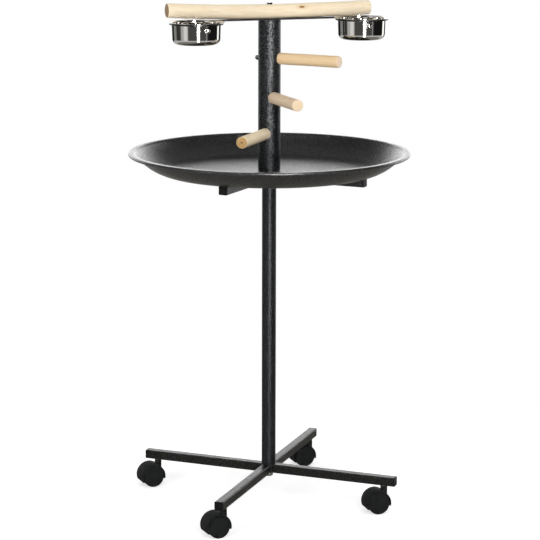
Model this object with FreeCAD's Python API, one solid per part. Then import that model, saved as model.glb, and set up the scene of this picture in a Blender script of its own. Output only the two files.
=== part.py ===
"""Rolling parrot play stand: caster base, pole, catch tray, tube post, wooden perches, two bowls.

Millimetres, +Z up. The origin is on the floor under the pole's axis. X runs along the main
perch and -Y is the side on which the bowls hang.
"""
import FreeCAD, Part
import math
import os

from FreeCAD import Vector

# ---- casters -------------------------------------------------------------------------------
wheel_diameter = 44.0
wheel_width = 17.0
wheel_edge_round = 2.2
wheel_dome = 0.7
wheel_rim_wall = 3.0
wheel_face_wall = 3.0
wheel_hub_radius = 5.0
wheel_side_gap = 0.6
axle_diameter = 5.0
axle_grip = 11.0
running_gap = 0.05
hood_wall = 3.0
hood_clearance = 1.0
hood_web = 4.4
hood_front_end = -14.0
hood_back_end = 206.0
hood_web_radius = 12.0
neck_diameter = 14.0
caster_trail = 16.0
caster_swivels = {"right": -3.0, "back": 0.0, "left": 3.0, "front": 5.0}
caster_height = 56.0
stem_diameter = 8.0
stem_depth = 12.0
stem_thread = 12.0
collar_diameter = 12.0
collar_height = 1.5
collar_gap = 0.4
weld_nut_across = 13.0
weld_nut_height = 5.0

# ---- base cross and tray cross ---------------------------------------------------------------
arm_section = 18.0
arm_wall = 1.5
arm_corner = 2.0
base_arm_reach = 274.0
caster_inset = 25.0
base_turn = 41.0
tray_arm_reach = 208.0
tray_turn = 45.5
cap_head = 3.0
cap_edge_round = 0.8
cap_plug_depth = 12.0
cap_plug_gap = 0.2
cap_plug_wall = 1.6
hole_clearance = 0.2
head_face_share = 0.95

# ---- lower pole --------------------------------------------------------------------------------
pole_diameter = 28.6
pole_length = 590.9
pole_wall = 1.5
plug_depth = 16.0
stud_diameter = 10.0
stud_grip = 14.0
stud_end_gap = 1.0
base_head_across = 17.0
base_head_height = 6.4
base_washer_diameter = 22.0
base_washer_height = 1.6

# ---- tray ----------------------------------------------------------------------------------------
tray_diameter = 562.0
tray_depth = 39.5
tray_sheet = 1.2
tray_floor_radius = 216.0
tray_wall_top_radius = 266.3
tray_wall_bulge = 5.0
tray_flange_rise = 3.2
tray_flange_sag = 0.2
tray_curl_radius = 1.8

# ---- post above the tray ---------------------------------------------------------------------
post_diameter = 44.5
post_wall = 1.5
post_length = 299.6
post_plug_depth = 14.0

# ---- bowl bar, rings and bowls -----------------------------------------------------------------
bar_end_inset = 21.0
bar_width = 25.0
bar_thickness = 3.0
bar_end_round = 4.0
ring_width = 4.0
ring_weld = 4.5
ring_inset = 40.5
bowl_body_radius = 47.0
bowl_ring_clearance = 1.0
bowl_taper = 1.0
bowl_height = 41.3
bowl_corner = 11.5
bowl_sheet = 0.8
bowl_neck_round = 0.8
bowl_rim_width = 7.4
bowl_hem = 0.75
bowl_seat_gap = 0.3
bowl_stud_drop = 12.0
bowl_stud_radius = 5.0
bowl_stud_dome = 3.4
bowl_stud_flange = 1.5
bowl_stud_turns = (9.0, -5.0)

# ---- perches -------------------------------------------------------------------------------------
main_perch_length = 424.0
main_perch_diameter = 28.5
main_perch_left_rise = 6.5
main_perch_right_rise = 3.0
main_perch_edge = 2.2
main_perch_seat = 0.8
main_perch_spans = 8
main_perch_swell = 0.25
main_perch_swell_step = 2.1
spot_margin = 2.0
side_perch_diameter = 23.0
side_perch_reach = 157.0
side_perch_edge = 1.6
side_perch_rises = (224.4, 147.8, 76.0)
side_perch_turns = (40.0, 0.0, -40.0)
hanger_diameter = 6.0
hanger_grip = 34.0
hanger_washer_diameter = 12.5
hanger_washer_height = 1.2
cap_nut_across = 10.0
cap_nut_hex = 4.6
cap_nut_length = 9.0
cap_nut_crown = 0.4
top_bolt_diameter = 6.0
top_bolt_across = 10.0
top_bolt_head = 4.2
top_bolt_grip = 12.0

# ---- sizes that follow ---------------------------------------------------------------------------
wheel_radius = wheel_diameter / 2
stem_radius = stem_diameter / 2
base_bottom = caster_height
base_top = base_bottom + arm_section
pole_top = base_top + pole_length
tray_bottom = pole_top + arm_section
caster_reach = base_arm_reach - caster_inset
tray_floor = tray_bottom + tray_sheet
post_top = tray_floor + post_length
bar_top = post_top + bar_thickness
bar_length = main_perch_length - 2 * bar_end_inset
side_perch_heights = [tray_floor + rise for rise in side_perch_rises]
main_perch_radius = main_perch_diameter / 2
main_perch_axis = bar_top + main_perch_radius - main_perch_seat
bowl_rim_radius = bowl_body_radius + bowl_rim_width
ring_inner_radius = bowl_body_radius + bowl_ring_clearance
ring_outer_radius = ring_inner_radius + ring_width
ring_offset = bar_width / 2 + ring_outer_radius - ring_weld
arm_bore = arm_section - 2 * arm_wall

X_AXIS = Vector(1, 0, 0)
Y_AXIS = Vector(0, 1, 0)
Z_AXIS = Vector(0, 0, 1)
FULL_TURN = 360.0
HALF_TURN = 180.0


# ---- small helpers -----------------------------------------------------------------------------
def rod(radius, bottom, top, x=0.0, y=0.0):
    """Upright cylinder between two heights."""
    return Part.makeCylinder(radius, top - bottom, Vector(x, y, bottom), Z_AXIS)


def hex_prism(across, bottom, top):
    """Upright hexagonal prism given its width across the flats."""
    corner = across / 2 / math.cos(math.pi / 6)
    turns = [math.radians(60 * step) for step in range(7)]
    ring = [Vector(corner * math.cos(turn), corner * math.sin(turn), bottom) for turn in turns]
    return Part.Face(Part.makePolygon(ring)).extrude(Vector(0, 0, top - bottom))


def hex_head(across, bottom, top):
    """Hexagonal head whose upper corners are turned off at 30 degrees."""
    head = hex_prism(across, bottom, top)
    height = top - bottom
    spread = height / math.tan(math.pi / 6)
    face_radius = across / 2 * head_face_share
    cone = Part.makeCone(face_radius + spread, face_radius, height, Vector(0, 0, bottom), Z_AXIS)
    return head.common(cone)


def turned(shape, degrees):
    """Copy turned about the stand's axis."""
    copy = shape.copy()
    copy.rotate(Vector(0, 0, 0), Z_AXIS, degrees)
    return copy


def moved(shape, x=0.0, y=0.0, z=0.0):
    """Copy moved by a vector."""
    copy = shape.copy()
    copy.translate(Vector(x, y, z))
    return copy


def front_turn(degrees):
    """Angle about Z, from +X, of a direction given from -Y towards +X."""
    return degrees - 90.0


def revolved(edges):
    """Full revolve about Z of a closed profile in the XZ plane."""
    face = Part.Face(Part.Wire(edges))
    return face.revolve(Vector(0, 0, 0), Z_AXIS, FULL_TURN)


def line(start, end):
    return Part.LineSegment(start, end).toShape()


def arc(start, middle, end):
    return Part.Arc(start, middle, end).toShape()


def at(radius, height):
    """Point of a profile in the XZ plane."""
    return Vector(radius, 0, height)


def crown_point(edge_radius, rise, height):
    """Half-way point of a shallow crown whose centre lies on the axis."""
    sphere = (edge_radius ** 2 + rise ** 2) / (2 * rise)
    half_angle = math.asin(edge_radius / sphere) / 2
    top = height + rise
    return at(sphere * math.sin(half_angle), top - sphere * (1 - math.cos(half_angle)))


def rounded_square(side, corner, x):
    """Square face with rounded corners, square to X."""
    half = side / 2
    flat = half - corner
    diagonal = flat + corner * math.sqrt(0.5)
    edges = []
    for quarter in range(4):
        piece = [
            line(Vector(x, half, -flat), Vector(x, half, flat)),
            arc(Vector(x, half, flat), Vector(x, diagonal, diagonal), Vector(x, flat, half)),
        ]
        for edge in piece:
            edge.rotate(Vector(0, 0, 0), X_AXIS, 90.0 * quarter)
            edges.append(edge)
    return Part.Face(Part.Wire(Part.__sortEdges__(edges)))


def square_tube(start, end):
    """Square tube of the crosses, along X between two stations, on the X axis."""
    outer = rounded_square(arm_section, arm_corner, start)
    inner = rounded_square(arm_bore, arm_corner - arm_wall, start)
    length = Vector(end - start, 0, 0)
    return outer.extrude(length).cut(inner.extrude(length))


def export(name, shape):
    """Write one node and print what is in it."""
    shape.exportStep("parts/" + name + ".step")
    print(name, len(shape.Solids), "solid(s)", round(shape.Volume, 1), "mm3", shape.isValid())


# ---- casters -------------------------------------------------------------------------------------
def caster_wheel():
    """Wheel on the +Y side: closed domed face outside, hollow towards the hood's web."""
    inner = hood_web / 2 + wheel_side_gap
    outer = inner + wheel_width
    bore = axle_diameter / 2 + running_gap
    rim = wheel_radius - wheel_rim_wall
    face = outer - wheel_face_wall
    blind = inner + axle_grip + running_gap
    shoulder = wheel_radius - wheel_edge_round
    slant = wheel_edge_round * (1 - math.sqrt(0.5))
    edges = [
        line(at(bore, inner), at(wheel_hub_radius, inner)),
        line(at(wheel_hub_radius, inner), at(wheel_hub_radius, face)),
        line(at(wheel_hub_radius, face), at(rim, face)),
        line(at(rim, face), at(rim, inner)),
        line(at(rim, inner), at(shoulder, inner)),
        arc(at(shoulder, inner), at(wheel_radius - slant, inner + slant),
            at(wheel_radius, inner + wheel_edge_round)),
        line(at(wheel_radius, inner + wheel_edge_round),
             at(wheel_radius, outer - wheel_edge_round)),
        arc(at(wheel_radius, outer - wheel_edge_round), at(wheel_radius - slant, outer - slant),
            at(shoulder, outer)),
        arc(at(shoulder, outer), crown_point(shoulder, wheel_dome, outer),
            at(0, outer + wheel_dome)),
        line(at(0, outer + wheel_dome), at(0, blind)),
        line(at(0, blind), at(bore, blind)),
        line(at(bore, blind), at(bore, inner)),
    ]
    wheel = revolved(edges)
    wheel.rotate(Vector(0, 0, 0), X_AXIS, -90.0)
    return moved(wheel, -caster_trail, 0, wheel_radius)


def caster_axle():
    """Plain pin through the web into both wheels."""
    half = hood_web / 2 + wheel_side_gap + axle_grip
    start = Vector(-caster_trail, -half, wheel_radius)
    return Part.makeCylinder(axle_diameter / 2, 2 * half, start, Y_AXIS)


def caster_hood():
    """Moulded hood: fender over both wheels, web between them, neck round the stem."""
    inner = wheel_radius + hood_clearance
    outer = inner + hood_wall
    half = hood_web / 2 + wheel_side_gap + wheel_width - wheel_edge_round / 2
    sweep = hood_back_end - hood_front_end
    shell = Part.makeCylinder(outer, 2 * half, Vector(0, 0, -half), Z_AXIS, sweep)
    bore = Part.makeCylinder(inner, 2 * half, Vector(0, 0, -half), Z_AXIS)
    shell = shell.cut(bore)
    web = Part.makeCylinder(inner, hood_web, Vector(0, 0, -hood_web / 2), Z_AXIS, sweep)
    hub = Part.makeCylinder(hood_web_radius, hood_web, Vector(0, 0, -hood_web / 2), Z_AXIS)
    body = shell.fuse([web, hub])
    body.rotate(Vector(0, 0, 0), Z_AXIS, hood_front_end)
    body.rotate(Vector(0, 0, 0), X_AXIS, 90.0)
    body = moved(body, -caster_trail, 0, wheel_radius)
    rise = math.sqrt(inner ** 2 - caster_trail ** 2)
    neck_bottom = wheel_radius + rise
    neck_top = caster_height - collar_height - collar_gap
    neck = rod(neck_diameter / 2, neck_bottom - neck_diameter / 2, neck_top)
    bite = Part.makeCylinder(inner, 2 * half, Vector(-caster_trail, half, wheel_radius),
                             Vector(0, -1, 0))
    body = body.fuse(neck.cut(bite)).removeSplitter()
    axle_hole = Part.makeCylinder(axle_diameter / 2, 4 * half,
                                  Vector(-caster_trail, -2 * half, wheel_radius), Y_AXIS)
    stem_bottom = caster_height - collar_height - stem_depth
    stem_hole = rod(stem_radius + running_gap, stem_bottom - collar_gap, caster_height)
    return body.cut(axle_hole).cut(stem_hole)


def caster_stem():
    """Zinc-plated stem: pin in the hood's neck, collar under the arm, thread in the arm."""
    collar_bottom = caster_height - collar_height
    pin = rod(stem_radius, collar_bottom - stem_depth, collar_bottom)
    collar = rod(collar_diameter / 2, collar_bottom, caster_height)
    thread = rod(stem_radius, caster_height, caster_height + stem_thread)
    return pin.fuse([collar, thread]).removeSplitter()


def caster_weld_nut():
    """Nut welded inside the arm over the stem's hole."""
    bottom = caster_height + arm_wall
    nut = hex_prism(weld_nut_across, bottom, bottom + weld_nut_height)
    return nut.cut(rod(stem_radius, bottom, bottom + weld_nut_height))


# ---- crosses -------------------------------------------------------------------------------------
def cross_tubes(reach, bottom, turn, bolt_radius, stem_reach=None):
    """Long tube and the two short tubes welded to its sides, with their holes."""
    end = reach - cap_head
    side = arm_section / 2
    tubes = {
        "long": square_tube(-end, end),
        "front": square_tube(side, end),
        "back": square_tube(side, end),
    }
    centre = Vector(0, 0, bottom + arm_section / 2)
    turns = {"long": -turn, "front": -90.0 - turn, "back": 90.0 - turn}
    centre_hole = rod(bolt_radius, -arm_section, arm_section)
    stem_hole_radius = stem_radius + hole_clearance
    for name, tube in tubes.items():
        if name == "long":
            tube = tube.cut(centre_hole)
        if stem_reach is not None:
            stations = (-stem_reach, stem_reach) if name == "long" else (stem_reach,)
            for station in stations:
                tube = tube.cut(rod(stem_hole_radius, -arm_section, 0, station))
        tube = turned(tube, turns[name])
        tube.translate(centre)
        tubes[name] = tube
    return tubes


def end_cap(reach, bottom):
    """Push-in cap of an arm: flush head and hollow plug."""
    head = rounded_square(arm_section, arm_corner, reach - cap_head)
    head = head.extrude(Vector(cap_head, 0, 0))
    rim = [edge for edge in head.Edges if edge.BoundBox.XMin > reach - cap_head / 2]
    head = head.makeFillet(cap_edge_round, rim)
    side = arm_bore - 2 * cap_plug_gap
    start = reach - cap_head - cap_plug_depth
    plug = rounded_square(side, arm_corner / 2, start).extrude(Vector(cap_plug_depth, 0, 0))
    hollow_side = side - 2 * cap_plug_wall
    hollow = rounded_square(hollow_side, arm_corner / 4, start)
    hollow = hollow.extrude(Vector(cap_plug_depth, 0, 0))
    cap = head.fuse(plug.cut(hollow)).removeSplitter()
    return moved(cap, 0, 0, bottom + arm_section / 2)


def end_caps(reach, bottom, turn):
    """The four caps of one cross."""
    cap = end_cap(reach, bottom)
    return Part.makeCompound([turned(cap, 90.0 * arm - turn) for arm in range(4)])


def arm_stations():
    """Places of the four caster stems under the base cross, by name."""
    names = ("right", "back", "left", "front")
    places = {}
    for index, name in enumerate(names):
        angle = math.radians(90.0 * index - base_turn)
        places[name] = (caster_reach * math.cos(angle), caster_reach * math.sin(angle))
    return places


# ---- pole, tray and post -----------------------------------------------------------------------
def round_tube(diameter, wall, bottom, top):
    outer = rod(diameter / 2, bottom, top)
    return outer.cut(rod(diameter / 2 - wall, bottom, top))


def threaded_plug(diameter, wall, bottom, top, screw):
    """Plug fixed inside a tube's end, tapped for a bolt or stud."""
    return rod(diameter / 2 - wall, bottom, top).cut(rod(screw / 2, bottom, top))


def base_bolt():
    """Bolt from under the base cross up into the pole."""
    head_top = base_bottom - base_washer_height
    head = hex_head(base_head_across, -head_top, base_head_height - head_top)
    head.rotate(Vector(0, 0, 0), X_AXIS, HALF_TURN)
    shank = rod(stud_diameter / 2, head_top, base_top + stud_grip)
    return head.fuse(shank).removeSplitter()


def base_washer():
    bottom = base_bottom - base_washer_height
    disc = rod(base_washer_diameter / 2, bottom, base_bottom)
    return disc.cut(rod(stud_diameter / 2 + hole_clearance, bottom, base_bottom))


def tray_profile():
    """Underside of the spun tray: flat floor, curved wall, flange and curled edge."""
    rim_top = tray_bottom + tray_depth - tray_sheet
    edge = tray_diameter / 2 - tray_sheet
    wall_top = at(tray_wall_top_radius, rim_top - tray_flange_rise)
    floor_end = at(tray_floor_radius, tray_bottom)
    chord = wall_top.sub(floor_end)
    chord_normal = Vector(chord.z, 0, -chord.x).normalize()
    wall_middle = floor_end.add(chord * 0.5).add(chord_normal * tray_wall_bulge)
    flange_end = at(edge - tray_curl_radius, rim_top)
    flange_middle = at(tray_wall_top_radius + tray_flange_rise,
                       rim_top - tray_flange_rise * tray_flange_sag)
    curl_centre = at(edge - tray_curl_radius, rim_top - tray_curl_radius)
    lean = tray_curl_radius * math.sqrt(0.5)
    curl_middle = curl_centre.add(at(lean, lean))
    curl_end = curl_centre.add(at(tray_curl_radius, 0))
    return Part.Wire([
        line(at(stud_diameter / 2 + hole_clearance, tray_bottom), floor_end),
        arc(floor_end, wall_middle, wall_top),
        arc(wall_top, flange_middle, flange_end),
        arc(flange_end, curl_middle, curl_end),
    ])


def tray():
    """Spun steel tray."""
    band = tray_profile().makeOffset2D(tray_sheet, 2, True, True, True)
    return band.revolve(Vector(0, 0, 0), Z_AXIS, FULL_TURN)


def joint_stud():
    """Threaded rod that pulls the pole, the tray cross, the tray and the post together."""
    return rod(stud_diameter / 2, pole_top - stud_grip, tray_floor + post_plug_depth - stud_end_gap)


def post():
    """Wide tube above the tray, with a pair of holes for each side perch."""
    tube = round_tube(post_diameter, post_wall, tray_floor, post_top)
    for height, turn in zip(side_perch_heights, side_perch_turns):
        tube = tube.cut(across(hanger_diameter / 2 + hole_clearance, -post_diameter,
                               post_diameter, height, turn))
    return tube


# ---- bowl holders and bowls --------------------------------------------------------------------
def ring_places():
    reach = main_perch_length / 2 - ring_inset
    return {"left": Vector(-reach, -ring_offset, 0), "right": Vector(reach, -ring_offset, 0)}


def bowl_bar():
    """Flat bar under the main perch, notched where the rings are welded to its edge."""
    corner = Vector(-bar_length / 2, -bar_width / 2, post_top)
    bar = Part.makeBox(bar_length, bar_width, bar_thickness, corner)
    upright = [edge for edge in bar.Edges if edge.BoundBox.ZLength > bar_thickness / 2]
    bar = bar.makeFillet(bar_end_round, upright)
    for place in ring_places().values():
        bar = bar.cut(rod(ring_outer_radius, post_top, bar_top, place.x, place.y))
    return bar.cut(rod(top_bolt_diameter / 2 + hole_clearance, post_top, bar_top))


def bowl_ring(place):
    """Flat ring that a bowl hangs in."""
    ring = rod(ring_outer_radius, post_top, bar_top, place.x, place.y)
    return ring.cut(rod(ring_inner_radius, post_top, bar_top, place.x, place.y))


def bowl(place):
    """Drawn bowl: flat base, rounded corner, slightly tapered wall, flat hemmed rim."""
    seat = bar_top + bowl_seat_gap
    rim_top = seat + bowl_sheet
    bottom = seat - bowl_height
    foot = bowl_body_radius - bowl_taper - bowl_corner
    corner_lean = bowl_corner * math.sqrt(0.5)
    wall_foot = bowl_body_radius - bowl_taper
    neck_lean = bowl_neck_round * (1 - math.sqrt(0.5))
    neck_top = bowl_body_radius + bowl_neck_round
    path = Part.Wire([
        line(at(0, bottom), at(foot, bottom)),
        arc(at(foot, bottom), at(foot + corner_lean, bottom + bowl_corner - corner_lean),
            at(wall_foot, bottom + bowl_corner)),
        line(at(wall_foot, bottom + bowl_corner), at(bowl_body_radius, seat - bowl_neck_round)),
        arc(at(bowl_body_radius, seat - bowl_neck_round),
            at(bowl_body_radius + neck_lean, seat - neck_lean), at(neck_top, seat)),
        line(at(neck_top, seat), at(bowl_rim_radius - bowl_hem, seat)),
    ])
    sheet = path.makeOffset2D(bowl_sheet, 2, True, True, True)
    shell = sheet.revolve(Vector(0, 0, 0), Z_AXIS, FULL_TURN)
    hem = Part.makeTorus(bowl_rim_radius - bowl_hem, bowl_hem, at(0, seat + bowl_hem), Z_AXIS)
    shell = shell.fuse(hem).removeSplitter()
    return moved(shell, place.x, place.y)


def bowl_wall_radius(height):
    """Outside radius of the bowl's tapered wall at a height."""
    top = bar_top + bowl_seat_gap - bowl_neck_round
    foot = bar_top + bowl_seat_gap - bowl_height + bowl_corner
    return bowl_body_radius - bowl_taper * (top - height) / (top - foot)


def bowl_skin(bottom, top):
    """Cone that fills the bowl out to its wall between two heights."""
    return Part.makeCone(bowl_wall_radius(bottom), bowl_wall_radius(top), top - bottom,
                         Vector(0, 0, bottom), Z_AXIS)


def bowl_stud(place, stud_turn):
    """Chromed domed stud riveted through the bowl's wall just under its ring."""
    height = bar_top - bowl_stud_drop
    dome_radius = (bowl_stud_radius ** 2 + bowl_stud_dome ** 2) / (2 * bowl_stud_dome)
    foot = bowl_body_radius - bowl_stud_radius
    face = bowl_body_radius + bowl_stud_flange
    reach = 2 * bowl_stud_radius
    flange = Part.makeCylinder(bowl_stud_radius, face - foot, Vector(foot, 0, height), X_AXIS)
    ball = Part.makeSphere(dome_radius, Vector(face + bowl_stud_dome - dome_radius, 0, height))
    slab = Part.makeBox(bowl_stud_dome, 2 * reach, 2 * reach, Vector(face, -reach, height - reach))
    stud = flange.fuse(ball.common(slab)).removeSplitter()
    stud = stud.cut(bowl_skin(height - reach, height + reach))
    return moved(turned(stud, front_turn(stud_turn)), place.x, place.y)


# ---- perches -------------------------------------------------------------------------------------
def across(radius, start, end, height, turn):
    """Cylinder lying along a side perch's direction, at its height."""
    pin = Part.makeCylinder(radius, end - start, Vector(start, 0, 0), X_AXIS)
    pin = turned(pin, front_turn(turn))
    return moved(pin, 0, 0, height)


def side_perch(height, turn):
    """Round wooden perch, butted on the post, with rounded ends and a hanger-bolt hole."""
    start = post_diameter / 2
    log = Part.makeCylinder(side_perch_diameter / 2, side_perch_reach - start,
                            Vector(start, 0, 0), X_AXIS)
    ends = [edge for edge in log.Edges if edge.Closed]
    log = log.makeFillet(side_perch_edge, ends)
    log = moved(turned(log, front_turn(turn)), 0, 0, height)
    hole_end = start + hanger_grip
    return log.cut(across(hanger_diameter / 2, 0, hole_end, height, turn))


def hanger_bolt(height, turn):
    """Double-ended screw from the perch, through both walls of the post, to the cap nut."""
    back = post_diameter / 2 + hanger_washer_height + cap_nut_hex
    return across(hanger_diameter / 2, -back, post_diameter / 2 + hanger_grip, height, turn)


def hanger_washer(height, turn):
    back = -post_diameter / 2
    outer = across(hanger_washer_diameter / 2, back - hanger_washer_height, back, height, turn)
    hole = across(hanger_diameter / 2, back - hanger_washer_height, back, height, turn)
    return outer.cut(hole)


def cap_nut(height, turn):
    """Hexagon nut with a round crown."""
    base = hex_prism(cap_nut_across, 0, cap_nut_hex)
    crown_radius = cap_nut_across / 2 - cap_nut_crown
    neck = rod(crown_radius, 0, cap_nut_length - crown_radius)
    crown = Part.makeSphere(crown_radius, Vector(0, 0, cap_nut_length - crown_radius))
    nut = base.fuse([neck, crown]).removeSplitter()
    nut = nut.cut(rod(hanger_diameter / 2, -crown_radius, cap_nut_hex))
    nut = nut.common(rod(cap_nut_across, 0, cap_nut_length))
    nut.rotate(Vector(0, 0, 0), Y_AXIS, -90.0)
    nut = moved(nut, -post_diameter / 2 - hanger_washer_height)
    return moved(turned(nut, front_turn(turn)), 0, 0, height)


def perch_rise(x):
    """Natural upward bow of the main perch at a station along X."""
    half = main_perch_length / 2
    rise = main_perch_left_rise if x < 0 else main_perch_right_rise
    return rise * (x / half) ** 2


def main_perch():
    """Slightly bowed natural branch, flattened where it sits on the bar and under the bolt."""
    edge = main_perch_edge
    span = (main_perch_length - 2 * edge) / main_perch_spans
    centres = []
    radii = []
    for step in range(main_perch_spans + 1):
        x = edge - main_perch_length / 2 + span * step
        centres.append(Vector(x, 0, main_perch_axis + perch_rise(x)))
        radii.append(main_perch_radius + main_perch_swell * math.sin(main_perch_swell_step * step))
    circles = [Part.makeCircle(radius, centre, X_AXIS) for centre, radius in zip(centres, radii)]
    log = Part.makeLoft([Part.Wire([circle]) for circle in circles], True, False)
    left_rim = Part.makeCone(radii[0], radii[0] - edge, edge, centres[0], -X_AXIS)
    right_rim = Part.makeCone(radii[-1], radii[-1] - edge, edge, centres[-1], X_AXIS)
    log = log.fuse([left_rim, right_rim])
    seat = Part.makeBox(bar_length, post_diameter, main_perch_diameter,
                        Vector(-bar_length / 2, -post_diameter / 2, bar_top - main_perch_diameter))
    log = log.cut(seat)
    spot_bottom = main_perch_axis + main_perch_radius - main_perch_seat
    spot = rod(top_bolt_across / 2 + spot_margin, spot_bottom, spot_bottom + main_perch_diameter)
    hole = rod(top_bolt_diameter / 2 + hole_clearance, bar_top - main_perch_diameter,
               spot_bottom + main_perch_diameter)
    return log.cut(spot).cut(hole)


def top_bolt():
    """Hexagon bolt down through the perch and the bar into the post's top plug."""
    seat = main_perch_axis + main_perch_radius - main_perch_seat
    head = hex_head(top_bolt_across, seat, seat + top_bolt_head)
    return head.fuse(rod(top_bolt_diameter / 2, post_top - top_bolt_grip, seat)).removeSplitter()


# ---- the whole stand ---------------------------------------------------------------------------
def build():
    os.makedirs("parts", exist_ok=True)

    base = cross_tubes(base_arm_reach, base_bottom, base_turn,
                       stud_diameter / 2 + hole_clearance, caster_reach)
    export("base_tube_long", base["long"])
    export("base_tube_front", base["front"])
    export("base_tube_back", base["back"])
    export("base_end_caps", end_caps(base_arm_reach, base_bottom, base_turn))
    export("base_bolt", base_bolt())
    export("base_washer", base_washer())

    nuts = []
    far_wheel = caster_wheel()
    near_wheel = far_wheel.mirror(Vector(0, 0, 0), Y_AXIS)
    for name, (x, y) in arm_stations().items():
        swivel = caster_swivels[name]
        export("caster_stem_" + name, moved(caster_stem(), x, y))
        export("caster_hood_" + name, moved(turned(caster_hood(), swivel), x, y))
        export("caster_axle_" + name, moved(turned(caster_axle(), swivel), x, y))
        export("caster_wheel_" + name + "_far", moved(turned(far_wheel, swivel), x, y))
        export("caster_wheel_" + name + "_near", moved(turned(near_wheel, swivel), x, y))
        nuts.append(moved(caster_weld_nut(), x, y))
    export("caster_weld_nuts", Part.makeCompound(nuts))

    export("lower_pole", round_tube(pole_diameter, pole_wall, base_top, pole_top))
    export("pole_bottom_plug", threaded_plug(pole_diameter, pole_wall, base_top,
                                             base_top + plug_depth, stud_diameter))
    export("pole_top_plug", threaded_plug(pole_diameter, pole_wall, pole_top - plug_depth,
                                          pole_top, stud_diameter))

    cross = cross_tubes(tray_arm_reach, pole_top, tray_turn,
                        stud_diameter / 2 + hole_clearance)
    export("tray_cross_long", cross["long"])
    export("tray_cross_front", cross["front"])
    export("tray_cross_back", cross["back"])
    export("tray_cross_caps", end_caps(tray_arm_reach, pole_top, tray_turn))
    export("tray", tray())
    export("joint_stud", joint_stud())

    export("post_tube", post())
    export("post_bottom_plug", threaded_plug(post_diameter, post_wall, tray_floor,
                                             tray_floor + post_plug_depth, stud_diameter))
    export("post_top_plug", threaded_plug(post_diameter, post_wall, post_top - post_plug_depth,
                                          post_top, top_bolt_diameter))

    export("bowl_bar", bowl_bar())
    for (name, place), stud_turn in zip(ring_places().items(), bowl_stud_turns):
        export("bowl_ring_" + name, bowl_ring(place))
        export("bowl_" + name, bowl(place))
        export("bowl_stud_" + name, bowl_stud(place, stud_turn))

    export("main_perch", main_perch())
    export("top_bolt", top_bolt())
    names = ("upper", "middle", "lower")
    perches = list(zip(names, side_perch_heights, side_perch_turns))
    for name, height, turn in perches:
        export("side_perch_" + name, side_perch(height, turn))
    spots = list(zip(side_perch_heights, side_perch_turns))
    export("hanger_bolts", Part.makeCompound([hanger_bolt(*spot) for spot in spots]))
    export("hanger_washers", Part.makeCompound([hanger_washer(*spot) for spot in spots]))
    export("cap_nuts", Part.makeCompound([cap_nut(*spot) for spot in spots]))


build()
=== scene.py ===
import math

import bmesh
import bpy
from mathutils import Matrix, Vector, noise


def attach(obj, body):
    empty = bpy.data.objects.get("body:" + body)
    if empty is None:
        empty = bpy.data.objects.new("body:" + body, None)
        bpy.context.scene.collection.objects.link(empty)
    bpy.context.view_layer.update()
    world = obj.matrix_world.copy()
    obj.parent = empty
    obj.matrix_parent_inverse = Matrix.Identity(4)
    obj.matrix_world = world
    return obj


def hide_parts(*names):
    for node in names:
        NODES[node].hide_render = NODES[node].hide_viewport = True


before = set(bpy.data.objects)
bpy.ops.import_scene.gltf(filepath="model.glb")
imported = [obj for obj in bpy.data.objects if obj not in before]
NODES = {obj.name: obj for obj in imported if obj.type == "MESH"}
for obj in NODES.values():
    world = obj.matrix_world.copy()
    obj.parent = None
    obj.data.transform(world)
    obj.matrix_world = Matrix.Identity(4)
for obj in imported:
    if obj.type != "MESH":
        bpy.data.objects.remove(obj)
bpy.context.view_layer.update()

MM = 0.001
STAND = "stand"
ARMS = ("right", "back", "left", "front")

# ---- sizes of the pieces made here, millimetres, the same as the solids' -----------------------
WHEEL_RADIUS, WHEEL_INNER, WHEEL_OUTER = 22.0, 2.8, 19.8
WHEEL_EDGE, WHEEL_DOME, WHEEL_WALL, WHEEL_HUB = 2.2, 0.7, 3.0, 5.0
AXLE_RADIUS = 2.55
HOOD_INNER, HOOD_OUTER, HOOD_HALF = 23.0, 26.0, 18.7
HOOD_ENDS = (-14.0, 206.0)
HOOD_WEB, HOOD_HUB = 2.2, 12.0
NECK_RADIUS, NECK_TOP, STEM_HOLE, TRAIL = 7.0, 54.1, 4.05, 16.0
SWIVELS = {"right": -3.0, "back": 0.0, "left": 3.0, "front": 5.0}
BASE_TURN, CASTER_REACH = 41.0, 249.0
ARM_HALF, BASE_BOTTOM = 9.0, 56.0
POLE_TOP = 664.9
TRAY_BOTTOM, TRAY_RADIUS, TRAY_DEPTH, TRAY_SHEET = 682.9, 281.0, 39.5, 1.2
TRAY_FLOOR_RADIUS, TRAY_WALL_TOP, TRAY_BULGE = 216.0, 266.3, 5.0
TRAY_RISE, TRAY_HOLE, TRAY_CURL_ROUND = 3.2, 5.2, 3.0
TRAY_CROSS_TURN = 45.5
POST_RADIUS, POST_TOP, BAR_TOP = 22.25, 983.7, 986.7
RING_X, RING_Y, RING_OUTER = 171.5, 60.0, 52.0
BOWL_BODY, BOWL_TAPER, BOWL_HEIGHT, BOWL_CORNER = 47.0, 1.0, 41.3, 11.5
BOWL_SHEET, BOWL_NECK, BOWL_RIM, BOWL_HEM, BOWL_GAP = 0.8, 0.8, 54.4, 0.75, 0.3
STUD_RADIUS, STUD_DOME, STUD_FLANGE, STUD_DROP = 5.0, 3.4, 1.5, 12.0
STUD_TURNS = {"left": 9.0, "right": -5.0}
PERCH_HALF, PERCH_RADIUS, PERCH_SEAT, PERCH_EDGE = 212.0, 14.25, 0.8, 2.2
PERCH_RISES = (6.5, 3.0)
BAR_HALF, BAR_EDGE = 191.0, 12.5
SIDE_RADIUS, SIDE_REACH, SIDE_EDGE = 11.5, 157.0, 1.6
SIDE_PERCHES = {"upper": (908.5, 40.0), "middle": (831.9, 0.0), "lower": (760.1, -40.0)}
WASHER_RADIUS, WASHER_HEIGHT = 6.25, 1.2
NUT_ACROSS, NUT_HEX, NUT_LENGTH, NUT_CROWN = 10.0, 4.6, 9.0, 4.6
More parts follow.
